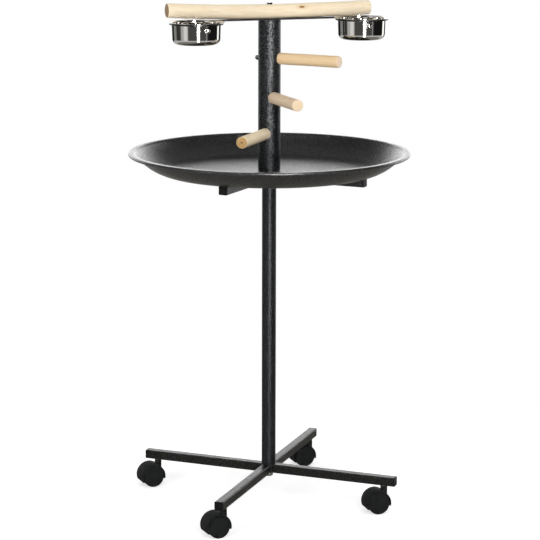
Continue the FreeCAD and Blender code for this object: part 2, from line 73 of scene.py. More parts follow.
BOLT_ACROSS, BOLT_HEAD, BOLT_SPOT, BOLT_SHANK = 10.0, 4.2, 7.0, 3.0

PERCH_AXIS = BAR_TOP + PERCH_RADIUS - PERCH_SEAT
BOLT_SEAT = PERCH_AXIS + PERCH_RADIUS - PERCH_SEAT


# ---- mesh helpers ------------------------------------------------------------------------------
def make_object(name, build, material, sharp=38.0):
    """Mesh object from a bmesh that is already in metres, smooth but for its sharp edges."""
    bmesh.ops.remove_doubles(build, verts=build.verts, dist=1e-6)
    bmesh.ops.recalc_face_normals(build, faces=build.faces)
    limit = math.radians(sharp)
    for face in build.faces:
        face.smooth = True
    for edge in build.edges:
        edge.smooth = len(edge.link_faces) == 2 and edge.calc_face_angle(0.0) < limit
    mesh = bpy.data.meshes.new(name)
    build.to_mesh(mesh)
    build.free()
    mesh.materials.append(material)
    piece = bpy.data.objects.new(name, mesh)
    bpy.context.scene.collection.objects.link(piece)
    return piece


def place(piece, body, slot, *nodes):
    """Rides the piece on its body, in the stead of the nodes."""
    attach(piece, body)
    if nodes:
        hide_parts(*nodes)
    return piece


def loft(build, rings, closed=False, caps=False):
    """Skins rings of points (millimetres); every ring closes on itself."""
    made = []
    for ring in rings:
        made.append([build.verts.new(Vector(point) * MM) for point in ring])
    pairs = list(zip(made, made[1:]))
    if closed:
        pairs.append((made[-1], made[0]))
    for low, high in pairs:
        count = len(low)
        for index in range(count):
            after = (index + 1) % count
            build.faces.new((low[index], low[after], high[after], high[index]))
    if caps:
        for ring in (made[0], made[-1]):
            build.faces.new(ring)
    return made


def lathe(build, profile, segments=96, closed=False, wobble=None):
    """Revolves (radius, height) points about Z; points on the axis are merged with the mesh."""
    rings = []
    for radius, height in profile:
        ring = []
        for step in range(segments):
            turn = 2 * math.pi * step / segments
            lift = wobble(radius, turn) if wobble else 0.0
            ring.append((radius * math.cos(turn), radius * math.sin(turn), height + lift))
        rings.append(ring)
    loft(build, rings, closed)


def arc_points(centre, radius, start, end, count):
    """Points of an arc in a profile's plane, angles in degrees."""
    points = []
    for step in range(count + 1):
        turn = math.radians(start + (end - start) * step / count)
        points.append((centre[0] + radius * math.cos(turn), centre[1] + radius * math.sin(turn)))
    return points


def smooth(value, low, high):
    """0 below low, 1 above high, eased between."""
    share = min(max((value - low) / (high - low), 0.0), 1.0)
    return share * share * (3 - 2 * share)


def circle_ring(radius, level, count=96):
    """Ring of points about Z."""
    turns = [2 * math.pi * step / count for step in range(count)]
    return [(radius * math.cos(turn), radius * math.sin(turn), level) for turn in turns]


def front_vector(turn):
    """Unit vector of a direction given from -Y towards +X."""
    angle = math.radians(turn)
    return Vector((math.sin(angle), -math.cos(angle), 0))


def along(direction, origin):
    """Transform that lays the local X axis along a level direction from an origin (mm)."""
    side = Vector((0, 0, 1)).cross(direction)
    turn = Matrix((direction, side, Vector((0, 0, 1)))).transposed().to_4x4()
    return Matrix.Translation(Vector(origin) * MM) @ turn


# ---- node-graph helpers ------------------------------------------------------------------------
def new_material(name):
    """A material with an empty graph, its Principled shader and its output."""
    material = bpy.data.materials.new(name)
    material.use_nodes = True
    graph = material.node_tree
    graph.nodes.clear()
    shader = graph.nodes.new("ShaderNodeBsdfPrincipled")
    output = graph.nodes.new("ShaderNodeOutputMaterial")
    graph.links.new(shader.outputs["BSDF"], output.inputs["Surface"])
    return material, graph, shader


def feed(graph, socket, value):
    """Links a socket to another, or sets it."""
    if isinstance(value, bpy.types.NodeSocket):
        graph.links.new(value, socket)
    elif isinstance(value, tuple) and len(value) == 3 and socket.type == "RGBA":
        socket.default_value = (*value, 1)
    else:
        socket.default_value = value


def node(graph, kind, inputs=None, **settings):
    """Adds a node, sets its properties, and sets or links its inputs."""
    made = graph.nodes.new(kind)
    for key, value in settings.items():
        setattr(made, key, value)
    for key, value in (inputs or {}).items():
        feed(graph, made.inputs[key], value)
    return made


def object_coords(graph, scale=(1, 1, 1)):
    """Object coordinates in metres, scaled."""
    coords = node(graph, "ShaderNodeTexCoord")
    return node(graph, "ShaderNodeMapping", {"Vector": coords.outputs["Object"],
                                             "Scale": scale}).outputs["Vector"]


def ramp(graph, value, *stops):
    """Colour ramp; stops are (position, colour or grey)."""
    made = node(graph, "ShaderNodeValToRGB", {"Fac": value})
    elements = made.color_ramp.elements
    while len(elements) < len(stops):
        elements.new(0.5)
    for element, (position, colour) in zip(elements, stops):
        element.position = position
        grey = isinstance(colour, (int, float))
        element.color = (colour, colour, colour, 1) if grey else (*colour, 1)
    return made.outputs["Color"]


def mix_colour(graph, factor, first, second):
    """First colour at factor 0, second at 1."""
    made = node(graph, "ShaderNodeMix", data_type="RGBA")
    for key, value in ((0, factor), (6, first), (7, second)):
        feed(graph, made.inputs[key], value)
    return made.outputs[2]


def maths(graph, operation, *values):
    """Result of a Math node."""
    made = node(graph, "ShaderNodeMath", operation=operation)
    for index, value in enumerate(values):
        feed(graph, made.inputs[index], value)
    return made.outputs[0]


def smooth_step(graph, value, low, high):
    """0 below low, 1 above high, eased between; falls where low is above high."""
    return node(graph, "ShaderNodeMapRange", {"Value": value, "From Min": low, "From Max": high},
                interpolation_type="SMOOTHSTEP").outputs["Result"]


def noise_value(graph, vector, scale, detail=3.0, roughness=0.5, distortion=0.0):
    """Noise about 0.5, with the scale in 1/m where the vector is in metres."""
    return node(graph, "ShaderNodeTexNoise", {
        "Vector": vector, "Scale": scale, "Detail": detail,
        "Roughness": roughness, "Distortion": distortion}).outputs["Fac"]


def bump(graph, shader, height, distance):
    """Relief on the shader's normal; the distance is in metres."""
    made = node(graph, "ShaderNodeBump",
                {"Height": height, "Distance": distance, "Strength": 1.0})
    graph.links.new(made.outputs["Normal"], shader.inputs["Normal"])


# ---- materials ---------------------------------------------------------------------------------
SPECKLE_FINENESS = 1.3
SPECKLE_STOPS, DIMPLE_STOPS, GRAIN_STOPS = (0.35, 0.65), (0.38, 0.62), (0.3, 0.7)
PLASTIC_GRAIN_DEPTH, PLASTIC_CLOUD = 0.00012, 45
STREAKS, FINE_STREAKS, CLOUDS = (7, 110, 110), (30, 700, 700), (14, 30, 30)
KNOT_STRETCH, KNOT_HEART = (0.42, 1, 1), (0.30, 0.135, 0.035)
RING_PITCH, RING_WANDER = 0.0026, 0.003
WOOD_RELIEF, WOOD_SHINE = 0.0005, 0.2


def spread(graph, value, stops, pair):
    """Ramp from the first of a pair to the second, between two places on the ramp."""
    return ramp(graph, value, (stops[0], pair[0]), (stops[1], pair[1]))


def coat(name, colours, grain, depth, rough, level):
    """Black powder coat: dimples (grain in 1/m) that vary its gloss, and fine speckle."""
    material, graph, shader = new_material(name)
    coords = object_coords(graph)
    dimples = noise_value(graph, coords, grain, 0.0)
    bump(graph, shader, dimples, depth)
    speckle = noise_value(graph, coords, grain * SPECKLE_FINENESS, 1.0)
    feed(graph, shader.inputs["Base Color"], spread(graph, speckle, SPECKLE_STOPS, colours))
    feed(graph, shader.inputs["Roughness"], spread(graph, speckle, SPECKLE_STOPS, rough))
    feed(graph, shader.inputs["Specular IOR Level"], spread(graph, dimples, DIMPLE_STOPS, level))
    return material


def moulded_plastic(name, colours, rough, scale, level):
    """Black moulded plastic with a fine spark-eroded grain."""
    material, graph, shader = new_material(name)
    coords = object_coords(graph)
    grain = noise_value(graph, coords, scale, 3.0)
    bump(graph, shader, grain, PLASTIC_GRAIN_DEPTH)
    cloud = noise_value(graph, coords, PLASTIC_CLOUD, 2.0)
    feed(graph, shader.inputs["Base Color"], spread(graph, cloud, GRAIN_STOPS, colours))
    feed(graph, shader.inputs["Roughness"], spread(graph, grain, GRAIN_STOPS, rough))
    shader.inputs["Specular IOR Level"].default_value = level
    return material


def metal(name, colours, rough, stretch, scale):
    """Bare or plated metal; stretch squeezes its faint lines."""
    material, graph, shader = new_material(name)
    lines = noise_value(graph, object_coords(graph, stretch), scale, 2.0)
    feed(graph, shader.inputs["Base Color"], spread(graph, lines, GRAIN_STOPS, colours))
    shader.inputs["Metallic"].default_value = 1.0
    feed(graph, shader.inputs["Roughness"], spread(graph, lines, GRAIN_STOPS, rough))
    return material


def vector_maths(graph, operation, first, second=None, output="Vector"):
    """Result of a Vector Math node."""
    inputs = {0: first} if second is None else {0: first, 1: second}
    return node(graph, "ShaderNodeVectorMath", inputs, operation=operation).outputs[output]


def with_knot(graph, local, colour, fleck, centre, size):
    """The wood's colour with one knot and its halo; centre and size in mm."""
    offset = vector_maths(graph, "SUBTRACT", local, Vector(centre) * MM)
    squeezed = vector_maths(graph, "MULTIPLY", offset, KNOT_STRETCH)
    away = vector_maths(graph, "LENGTH", squeezed, output="Value")
    halo = smooth_step(graph, away, size * 2.6 * MM, size * 0.8 * MM)
    colour = mix_colour(graph, maths(graph, "MULTIPLY", halo, 0.55), colour, fleck)
    core = smooth_step(graph, away, size * MM, size * 0.6 * MM)
    return mix_colour(graph, core, colour, KNOT_HEART)


def sawn_end(graph, local, end, pith):
    """Colour of the cut ends: growth rings about a dark heart of a size that pith (mm) sets; the
    end colour given to it also holds painted light and shade.
    """
    split = node(graph, "ShaderNodeSeparateXYZ", {"Vector": local})
    squares = [maths(graph, "MULTIPLY", split.outputs[axis], split.outputs[axis]) for axis in "YZ"]
    out = maths(graph, "SQRT", maths(graph, "ADD", *squares))
    out = maths(graph, "MULTIPLY_ADD", noise_value(graph, local, 60, 2.0), RING_WANDER, out)
    wave = maths(graph, "SINE", maths(graph, "MULTIPLY", out, 2 * math.pi / RING_PITCH))
    ringed = mix_colour(graph, maths(graph, "MULTIPLY_ADD", wave, 0.16, 0.17), end,
                        tuple(0.6 * part for part in end))
    heart = smooth_step(graph, out, (pith + 2.6) * MM, (pith + 0.6) * MM)
    return mix_colour(graph, heart, ringed, tuple(0.28 * part for part in end))


def wood(name, light, dark, fleck, end, pith, knots=()):
    """Bare wood along the local X axis, with ringed ends and knots ((centre), radius) in mm."""
    material, graph, shader = new_material(name)
    coords = node(graph, "ShaderNodeTexCoord")
    local = coords.outputs["Object"]
    streak = noise_value(graph, object_coords(graph, STREAKS), 1.5, 6.0, 0.62, 0.5)
    fine = noise_value(graph, object_coords(graph, FINE_STREAKS), 1.3, 3.0)
    cloud = noise_value(graph, object_coords(graph, CLOUDS), 1.0, 2.0)
    colour = ramp(graph, streak, (0.30, dark), (0.50, light), (0.80, light))
    colour = mix_colour(graph, ramp(graph, fine, (0.42, 0.0), (0.72, 0.5)), colour, fleck)
    colour = mix_colour(graph, ramp(graph, cloud, (0.35, 0.0), (0.7, 0.35)), colour, dark)
    for centre, size in knots:
        colour = with_knot(graph, local, colour, fleck, centre, size)
    facing = node(graph, "ShaderNodeSeparateXYZ", {"Vector": coords.outputs["Normal"]})
    cut = smooth_step(graph, maths(graph, "ABSOLUTE", facing.outputs["X"]), 0.6, 0.9)
    colour = mix_colour(graph, cut, colour, sawn_end(graph, local, end, pith))
    feed(graph, shader.inputs["Base Color"], colour)
    bump(graph, shader, maths(graph, "MULTIPLY_ADD", fine, 0.4, streak), WOOD_RELIEF)
    feed(graph, shader.inputs["Roughness"], spread(graph, fine, GRAIN_STOPS, (0.55, 0.72)))
    shader.inputs["Specular IOR Level"].default_value = WOOD_SHINE
    return material


def dress(material, *names):
    """Gives CAD nodes a material."""
    for name in names:
        mesh = NODES[name].data
        mesh.materials.clear()
        mesh.materials.append(material)


HAMMERED = coat("hammered_black_coat", ((0.005, 0.006, 0.007), (0.009, 0.010, 0.011)),
                380.0, 0.0007, (0.35, 0.45), (0.10, 0.56))
POLE_COAT = coat("pole_black_coat", ((0.008, 0.009, 0.010), (0.013, 0.014, 0.015)),
                 400.0, 0.0005, (0.34, 0.44), (0.10, 0.30))
FINE_COAT = coat("fine_black_coat", ((0.006, 0.006, 0.0055), (0.012, 0.012, 0.011)),
                 400.0, 0.0004, (0.28, 0.36), (0.2, 0.5))
TRAY_COAT = coat("tray_black_coat", ((0.013, 0.013, 0.013), (0.026, 0.026, 0.026)),
                 480.0, 0.0004, (0.25, 0.34), (0.34, 0.84))
CAP_PLASTIC = moulded_plastic("cap_plastic", ((0.005, 0.005, 0.005), (0.008, 0.008, 0.008)),
                              (0.42, 0.55), 900, 0.1)
CASTER_PLASTIC = moulded_plastic("caster_plastic",
                                 ((0.0055, 0.006, 0.006), (0.0085, 0.009, 0.009)),
                                 (0.66, 0.80), 1100, 0.12)
STEEL = metal("polished_steel", ((0.60, 0.585, 0.56), (0.66, 0.645, 0.62)), (0.015, 0.03),
              (60, 60, 900), 1.0)
ZINC = metal("zinc_plate", ((0.36, 0.36, 0.35), (0.50, 0.50, 0.49)), (0.12, 0.20),
             (1, 1, 1), 300.0)
# The end colours are partly end grain and partly painted light and shade: the main perch's end is
# painted dark as shade, and the side perches' ends go from painted shade on the lower one to
# painted light on the upper one.
PERCH_WOOD = wood("peeled_branch", (0.87, 0.755, 0.575), (0.82, 0.675, 0.47),
                  (0.68, 0.49, 0.27), (0.29, 0.20, 0.11), 0.6, (((64.0, -11.5, 8.2), 3.0),))
SIDE_WOOD = {
    "upper": wood("upper_perch_wood", (0.75, 0.565, 0.355), (0.67, 0.47, 0.27),
                  (0.54, 0.34, 0.165), (0.98, 0.78, 0.60), -1.2),
    "middle": wood("middle_perch_wood", (0.80, 0.63, 0.45), (0.56, 0.43, 0.30),
                   (0.46, 0.34, 0.22), (0.85, 0.66, 0.45), -1.8),
    "lower": wood("lower_perch_wood", (0.93, 0.80, 0.58), (0.82, 0.65, 0.43),
                  (0.66, 0.48, 0.28), (0.48, 0.30, 0.125), 2.0),
}

dress(HAMMERED, "post_tube")
dress(POLE_COAT, "lower_pole")
dress(FINE_COAT, "base_tube_long", "base_tube_front", "base_tube_back", "tray_cross_long",
      "tray_cross_front", "tray_cross_back", "bowl_bar", "bowl_ring_left", "bowl_ring_right")
dress(CAP_PLASTIC, "base_end_caps", "tray_cross_caps")
dress(ZINC, "base_bolt", "base_washer", "caster_weld_nuts", "pole_bottom_plug", "pole_top_plug",
      "post_bottom_plug", "post_top_plug", "joint_stud", "hanger_bolts",
      *["caster_stem_" + arm for arm in ARMS], *["caster_axle_" + arm for arm in ARMS])


# ---- casters -----------------------------------------------------------------------------------
FENDER_STEPS, FENDER_SOFT, FENDER_INNER_SOFT = 64, 1.1, 0.4
FENDER_END, FENDER_END_STEP = 0.7, 0.15
NECK_FLARES = ((1.6, -0.5), (0.9, 0.2), (0.45, 1.0), (0.15, 2.0), (0.0, 3.2))
NECK_ROOT, NECK_BORE_DEPTH = 0.6, 6.0


def wheel_profile():
    """Closed profile (radius, distance from the caster's middle plane)."""
    shoulder = WHEEL_RADIUS - WHEEL_EDGE
    rim = WHEEL_RADIUS - WHEEL_WALL
    face = WHEEL_OUTER - WHEEL_WALL
    points = [(AXLE_RADIUS, face), (AXLE_RADIUS, WHEEL_INNER), (WHEEL_HUB, WHEEL_INNER),
              (WHEEL_HUB, face), (rim, face), (rim, WHEEL_INNER)]
    points += arc_points((shoulder, WHEEL_INNER + WHEEL_EDGE), WHEEL_EDGE, -90, 0, 6)
    points += arc_points((shoulder, WHEEL_OUTER - WHEEL_EDGE), WHEEL_EDGE, 0, 90, 8)
    for step in range(1, 9):
        share = 1 - step / 8
        points.append((shoulder * share, WHEEL_OUTER + WHEEL_DOME * (1 - share ** 2)))
    return points


def caster_place(arm, x, y):
    """Transform from a caster's own frame, at its wheels' middle, to the stand's."""
    stem = Matrix.Translation(Vector((x, y, 0)) * MM)
    turn = Matrix.Rotation(math.radians(SWIVELS[arm]), 4, "Z")
    return stem @ turn @ Matrix.Translation(Vector((-TRAIL, 0, WHEEL_RADIUS)) * MM)


def add_wheel(arm, side, x, y):
    """One wheel, its domed face outwards."""
    build = bmesh.new()
    lathe(build, wheel_profile(), 96)
    flip = -90.0 if side == "far" else 90.0
    turn = Matrix.Rotation(math.radians(flip), 4, "X")
    bmesh.ops.transform(build, verts=build.verts, matrix=turn)
    piece = make_object("wheel_%s_%s_disc" % (arm, side), build, CASTER_PLASTIC, 30.0)
    piece.matrix_world = caster_place(arm, x, y)
    place(piece, "wheel_%s_%s" % (arm, side), "wheel_plastic", "caster_wheel_%s_%s" % (arm, side))


def fender_ring(turn, inset):
    """Rounded section of the fender at an angle, drawn in by an inset."""
    low, high, half = HOOD_INNER + inset, HOOD_OUTER - inset, HOOD_HALF - inset
    soft, small = min(FENDER_SOFT, (high - low) / 2), FENDER_INNER_SOFT
    corners = ((high - soft, half - soft, 0), (high - soft, -(half - soft), 270),
               (low + small, -(half - small), 180), (low + small, half - small, 90))
    ring = []
    angle = math.radians(turn)
    for index, (radius, side, start) in enumerate(corners):
        size = soft if index < 2 else small
        for step in range(5):
            bend = math.radians(start + 90 - 90 * step / 4)
            out = radius + size * math.cos(bend)
            across = side + size * math.sin(bend)
            ring.append((out * math.cos(angle), across, out * math.sin(angle)))
    return ring


def neck_ring(radius, fender, lift):
    """Ring of the neck at a height over the fender's curve, or over the axle where fender is 0."""
    ring = []
    for step in range(48):
        turn = 2 * math.pi * step / 48
        x, y = TRAIL + radius * math.cos(turn), radius * math.sin(turn)
        ring.append((x, y, lift + math.sqrt(max(fender ** 2 - x ** 2, 0.0))))
    return ring


def add_hood(arm, x, y):
    """Fender over both wheels, the web between them, and the neck round the stem."""
    build = bmesh.new()
    first, last = HOOD_ENDS
    trim = math.degrees(FENDER_END / HOOD_OUTER)
    rings = [fender_ring(first, FENDER_END), fender_ring(first + trim, FENDER_END_STEP)]
    span = last - first - 4 * trim
    rings += [fender_ring(first + 2 * trim + span * step / FENDER_STEPS, 0.0)
              for step in range(FENDER_STEPS + 1)]
    rings += [fender_ring(last - trim, FENDER_END_STEP), fender_ring(last, FENDER_END)]
    loft(build, rings, caps=True)
    middle = (HOOD_INNER + HOOD_OUTER) / 2
    outline = arc_points((0, 0), middle, first + 3, last - 3, 48)
    outline += arc_points((0, 0), HOOD_HUB, last - 3, first + 363, 16)
    loft(build, [[(px, side, pz) for px, pz in outline] for side in (-HOOD_WEB, HOOD_WEB)],
         caps=True)
    rings = [neck_ring(NECK_RADIUS + NECK_ROOT, middle, 0.0)]
    for flare, lift in NECK_FLARES:
        rings.append(neck_ring(NECK_RADIUS + flare, HOOD_OUTER, lift))
    for radius, height in ((NECK_RADIUS, NECK_TOP - 0.9), (NECK_RADIUS - 0.3, NECK_TOP - 0.25),
                           (NECK_RADIUS - 0.9, NECK_TOP), (STEM_HOLE, NECK_TOP),
                           (STEM_HOLE, NECK_TOP - NECK_BORE_DEPTH)):
        rings.append(neck_ring(radius, 0.0, height - WHEEL_RADIUS))
    loft(build, rings)
    piece = make_object("hood_" + arm, build, CASTER_PLASTIC, 40.0)
    piece.matrix_world = caster_place(arm, x, y)
    place(piece, "caster_" + arm, "black_plastic", "caster_hood_" + arm)


def add_casters():
    """The four casters, each at its own small turn about its stem."""
    for index, arm in enumerate(ARMS):
        angle = math.radians(90.0 * index - BASE_TURN)
        x, y = CASTER_REACH * math.cos(angle), CASTER_REACH * math.sin(angle)
        add_hood(arm, x, y)
        for side in ("far", "near"):
            add_wheel(arm, side, x, y)


# ---- tray --------------------------------------------------------------------------------------
TRAY_WAVE = 0.12
TRAY_FLOOR_RINGS = (TRAY_HOLE, 40.0, 100.0, 160.0, 200.0)
TRAY_WALL_STEPS = 24


def tray_line():
    """Upper face of the spun sheet as (radius, height) from the stud's hole to the curled edge."""
    floor = TRAY_BOTTOM + TRAY_SHEET
    top = TRAY_BOTTOM + TRAY_DEPTH
    points = [(radius, floor) for radius in TRAY_FLOOR_RINGS]
    start = Vector((TRAY_FLOOR_RADIUS, floor))
    end = Vector((TRAY_WALL_TOP - 0.8, top - TRAY_RISE + 0.3))
    normal = Vector((end.y - start.y, start.x - end.x)).normalized()
    for step in range(TRAY_WALL_STEPS + 1):
        share = step / TRAY_WALL_STEPS
        bow = TRAY_BULGE * (1 - (2 * share - 1) ** 2)
        point = start.lerp(end, share) + normal * bow
        points.append((point.x, point.y))
    points += [(TRAY_WALL_TOP + 2.4, top - 0.5), (TRAY_WALL_TOP + 6.0, top),
               (TRAY_RADIUS - 5.5, top)]
    curl = (TRAY_RADIUS - TRAY_CURL_ROUND, top - TRAY_CURL_ROUND)
    points += arc_points(curl, TRAY_CURL_ROUND, 90, -150, 14)
    return points


def thickened(points, sheet):
    """Closed profile of a sheet below a line of points."""
    under = []
    for index, point in enumerate(points):
        before = Vector(points[max(index - 1, 0)])
        after = Vector(points[min(index + 1, len(points) - 1)])
        run = (after - before).normalized()
        under.append((point[0] + run.y * sheet, point[1] - run.x * sheet))
    return points + under[::-1]


def spun(radius, turn):
    """Slight unevenness of the spun sheet's wall and rim."""
    lobe = math.sin(3 * turn + 0.6) + 0.6 * math.sin(5 * turn + 2.0)
    return TRAY_WAVE * lobe * smooth(radius, TRAY_FLOOR_RADIUS, TRAY_RADIUS)


def add_tray():
    """Shallow spun tray with a flat flange and a curled edge."""
    build = bmesh.new()
    lathe(build, thickened(tray_line(), TRAY_SHEET), 288, True, spun)
    piece = make_object("tray_shell", build, TRAY_COAT, 50.0)
    place(piece, STAND, "tray_coat", "tray")


# ---- bowls -------------------------------------------------------------------------------------
BOWL_DISH = ((9.0, 0.7), (6.5, 0.4), (4.5, 0.0))
BOWL_WALL_STEPS, BOWL_HEM_LAP, BOWL_LIP = 9, 1.2, (2.4, 1.0)
STUD_ROOT, STUD_SOFT, STUD_SHOULDER = 1.6, 0.35, 0.45


def bowl_line():
    """Outer face of the drawn bowl from its middle to the hemmed rim."""
    seat = BAR_TOP + BOWL_GAP
    bottom = seat - BOWL_HEIGHT
    wall_foot = BOWL_BODY - BOWL_TAPER
    foot = wall_foot - BOWL_CORNER
    points = [(0.0, bottom + BOWL_DISH[0][1])]
    points += [(foot - inset, bottom + lift) for inset, lift in BOWL_DISH]
    points += arc_points((foot, bottom + BOWL_CORNER), BOWL_CORNER, -90, 0, 14)
    top = seat - BOWL_NECK
    for step in range(1, BOWL_WALL_STEPS):
        share = step / BOWL_WALL_STEPS
        height = bottom + BOWL_CORNER + (top - bottom - BOWL_CORNER) * share
        points.append((wall_foot + BOWL_TAPER * share, height))
    points += arc_points((BOWL_BODY + BOWL_NECK, top), BOWL_NECK, 180, 90, 5)
    return points


def sheet_inside(outer):
    """Inner face of the bowl's sheet for a line of points on its outer face."""
    inner = []
    count = len(outer)
    for index in range(count):
        before = Vector(outer[max(index - 1, 0)])
        after = Vector(outer[min(index + 1, count - 1)])
        run = (after - before).normalized()
        inner.append((max(outer[index][0] - run.y * BOWL_SHEET, 0.0),
                      outer[index][1] + run.x * BOWL_SHEET))
    return inner


def add_bowl(side, x):
    """Drawn bowl whose rim is hemmed round to a bead."""
    build = bmesh.new()
    outer = bowl_line()
    seat = BAR_TOP + BOWL_GAP
    hem = BOWL_RIM - BOWL_HEM
    rim = [(hem - BOWL_HEM_LAP, seat)]
    rim += arc_points((hem, seat + BOWL_HEM), BOWL_HEM, -90, 90, 8)
    rim += arc_points((hem, seat + BOWL_HEM), BOWL_HEM, 90, 170, 4)
    lip = [(hem - BOWL_LIP[1], seat + BOWL_SHEET), (BOWL_BODY + BOWL_LIP[0], seat + BOWL_SHEET)]
    lathe(build, outer + rim + lip + sheet_inside(outer)[::-1], 160)
    piece = make_object("bowl_%s_shell" % side, build, STEEL, 50.0)
    piece.location = Vector((x, -RING_Y, 0)) * MM
    place(piece, "bowl_" + side, "stainless", "bowl_" + side)


def add_stud(side, x):
    """Domed stud on the bowl's wall."""
    build = bmesh.new()
    profile = [(STUD_RADIUS, -STUD_ROOT), (STUD_RADIUS, STUD_FLANGE - STUD_SOFT),
               (STUD_RADIUS - STUD_SOFT, STUD_FLANGE)]
    ball = (STUD_RADIUS ** 2 + STUD_DOME ** 2) / (2 * STUD_DOME)
    for step in range(13):
        radius = (STUD_RADIUS - STUD_SHOULDER) * (1 - step / 12)
        rise = STUD_DOME - ball + math.sqrt(ball ** 2 - radius ** 2)
        profile.append((radius, STUD_FLANGE + rise))
    lathe(build, profile, 64)
    upright = Matrix.Rotation(math.radians(90.0), 4, "Y")
    bmesh.ops.transform(build, verts=build.verts, matrix=upright)
    piece = make_object("bowl_stud_%s_dome" % side, build, STEEL, 35.0)
    direction = front_vector(STUD_TURNS[side])
    origin = Vector((x, -RING_Y, BAR_TOP - STUD_DROP)) + direction * BOWL_BODY
    piece.matrix_world = along(direction, origin)
    place(piece, "bowl_" + side, "chrome_stud", "bowl_stud_" + side)


# ---- perches -----------------------------------------------------------------------------------
PERCH_STEPS, PERCH_SLIM = 150, 0.15
PERCH_LUMPS = ((34.0, 1.0, 0.55), (9.0, 2.2, 0.16))
PERCH_DRIFT, PERCH_DRIFT_RUN, PERCH_DRIFT_START = 0.5, 61.0, 0.8
SIDE_STEPS, SIDE_SLIM, SIDE_LUMP_RUN, SIDE_LUMP = 60, 0.08, 40.0, 0.22
SIDE_SEEDS = {"upper": 1.7, "middle": 8.3, "lower": 14.9}


def lumps(x, turn):
    """Unevenness of the peeled branch: long swellings and small bumps (mm)."""
    total = 0
    for run, around, high in PERCH_LUMPS:
        spot = Vector((x / run, around * math.cos(turn), around * math.sin(turn)))
        total += noise.noise(spot) * high
    return total


def add_main_perch():
    """Peeled branch: gently bowed, never quite round, flat on its bar and under the bolt."""
    build = bmesh.new()
    inner = PERCH_HALF - PERCH_EDGE
    stations = [-PERCH_HALF + PERCH_EDGE * (1 - math.cos(math.radians(15 * step)))
                for step in range(1, 6)]
    stations += [-inner + 2 * inner * step / PERCH_STEPS for step in range(PERCH_STEPS + 1)]
    stations += [-x for x in reversed(stations[:5])]
    rings = []
    segments = 72
    for x in stations:
        rise = PERCH_RISES[0] if x < 0 else PERCH_RISES[1]
        lift = rise * (x / PERCH_HALF) ** 2
        drift = PERCH_DRIFT * math.sin(x / PERCH_DRIFT_RUN + PERCH_DRIFT_START)
        near_end = max(abs(x) - inner, 0.0) / PERCH_EDGE
        cut = PERCH_EDGE * (1 - math.sqrt(max(1 - near_end ** 2, 0.0)))
        ring = []
        for step in range(segments):
            turn = 2 * math.pi * step / segments
            radius = PERCH_RADIUS - PERCH_SLIM + lumps(x, turn) - cut
            y = drift + radius * math.cos(turn)
            z = lift + radius * math.sin(turn)
            if abs(x) < BAR_HALF + 1:
                z = max(z, PERCH_SEAT - PERCH_RADIUS)
            if x * x + y * y < BOLT_SPOT ** 2:
                z = min(z, PERCH_RADIUS - PERCH_SEAT)
            ring.append((x, y, z))
        rings.append(ring)
    loft(build, rings, caps=True)
    piece = make_object("main_perch_branch", build, PERCH_WOOD, 45.0)
    piece.location = Vector((0, 0, PERCH_AXIS)) * MM
    place(piece, STAND, "perch_wood", "main_perch")


def add_side_perch(name, height, turn):
    """Round peg with softened ends, from the post's face outwards."""
    build = bmesh.new()
    rings = []
    segments = 64
    length = SIDE_REACH - POST_RADIUS
    stations = [(SIDE_EDGE * (1 - math.cos(math.radians(18 * step))),
                 SIDE_EDGE * (1 - math.sin(math.radians(18 * step)))) for step in range(6)]
    stations += [(SIDE_EDGE + (length - 2 * SIDE_EDGE) * step / SIDE_STEPS, 0.0)
                 for step in range(1, SIDE_STEPS)]
    stations += [(length - x, cut) for x, cut in reversed(stations[:6])]
    seed = SIDE_SEEDS[name]
    for x, cut in stations:
        ring = []
        for step in range(segments):
            angle = 2 * math.pi * step / segments
            spot = Vector((x / SIDE_LUMP_RUN + seed, math.cos(angle), math.sin(angle)))
            radius = SIDE_RADIUS - SIDE_SLIM + noise.noise(spot) * SIDE_LUMP - cut
            ring.append((x, radius * math.cos(angle), radius * math.sin(angle)))
        rings.append(ring)
    loft(build, rings, caps=True)
    piece = make_object("side_perch_%s_round" % name, build, SIDE_WOOD[name], 45.0)
    direction = front_vector(turn)
    piece.matrix_world = along(direction, direction * POST_RADIUS + Vector((0, 0, height)))
    place(piece, STAND, "side_wood", "side_perch_" + name)


# ---- bolts, nuts and washers -------------------------------------------------------------------
BOLT_FACE, BOLT_FOOT, BOLT_FOOT_HEIGHT = 0.475 * BOLT_ACROSS, 0.46 * BOLT_ACROSS, 0.4
BOLT_END, BOLT_POINT = POST_TOP - 12.0, 0.5
WASHER_BORE, WASHER_SOFT = 3.1, 0.25


def hex_radius(across, turn):
    """Distance from the middle to a hexagon's side in a direction."""
    part = (turn + math.pi / 6) % (math.pi / 3) - math.pi / 6
    return across / 2 / math.cos(part)


def hex_rings(across, bottom, top, face_radius):
    """Rings of a hexagonal head whose top corners are turned off at 30 degrees."""
    slope = math.tan(math.radians(30))
    levels = [[], [], []]
    count = 96
    for step in range(count):
        turn = 2 * math.pi * step / count
        radius = hex_radius(across, turn)
        direction = (math.cos(turn), math.sin(turn))
        edge = top - max(radius - face_radius, 0) * slope
        levels[0].append((radius * direction[0], radius * direction[1], bottom))
        levels[1].append((radius * direction[0], radius * direction[1], edge))
        near = min(face_radius, radius)
        levels[2].append((near * direction[0], near * direction[1], top))
    return levels


def add_top_bolt():
    """Hexagon head on its washer face; the shank stays in the perch."""
    build = bmesh.new()
    foot = BOLT_SEAT + BOLT_FOOT_HEIGHT
    rings = [circle_ring(BOLT_FOOT, level) for level in (BOLT_SEAT, foot)]
    rings += hex_rings(BOLT_ACROSS, foot, BOLT_SEAT + BOLT_HEAD, BOLT_FACE)
    loft(build, rings, caps=True)
    root = BOLT_SEAT + BOLT_FOOT_HEIGHT / 2
    lathe(build, [(0, root), (BOLT_SHANK, root), (BOLT_SHANK, BOLT_END + BOLT_POINT),
                  (BOLT_SHANK - BOLT_POINT, BOLT_END), (0, BOLT_END)], 48)
    piece = make_object("top_bolt_hex", build, ZINC, 20.0)
    place(piece, STAND, "zinc", "top_bolt")


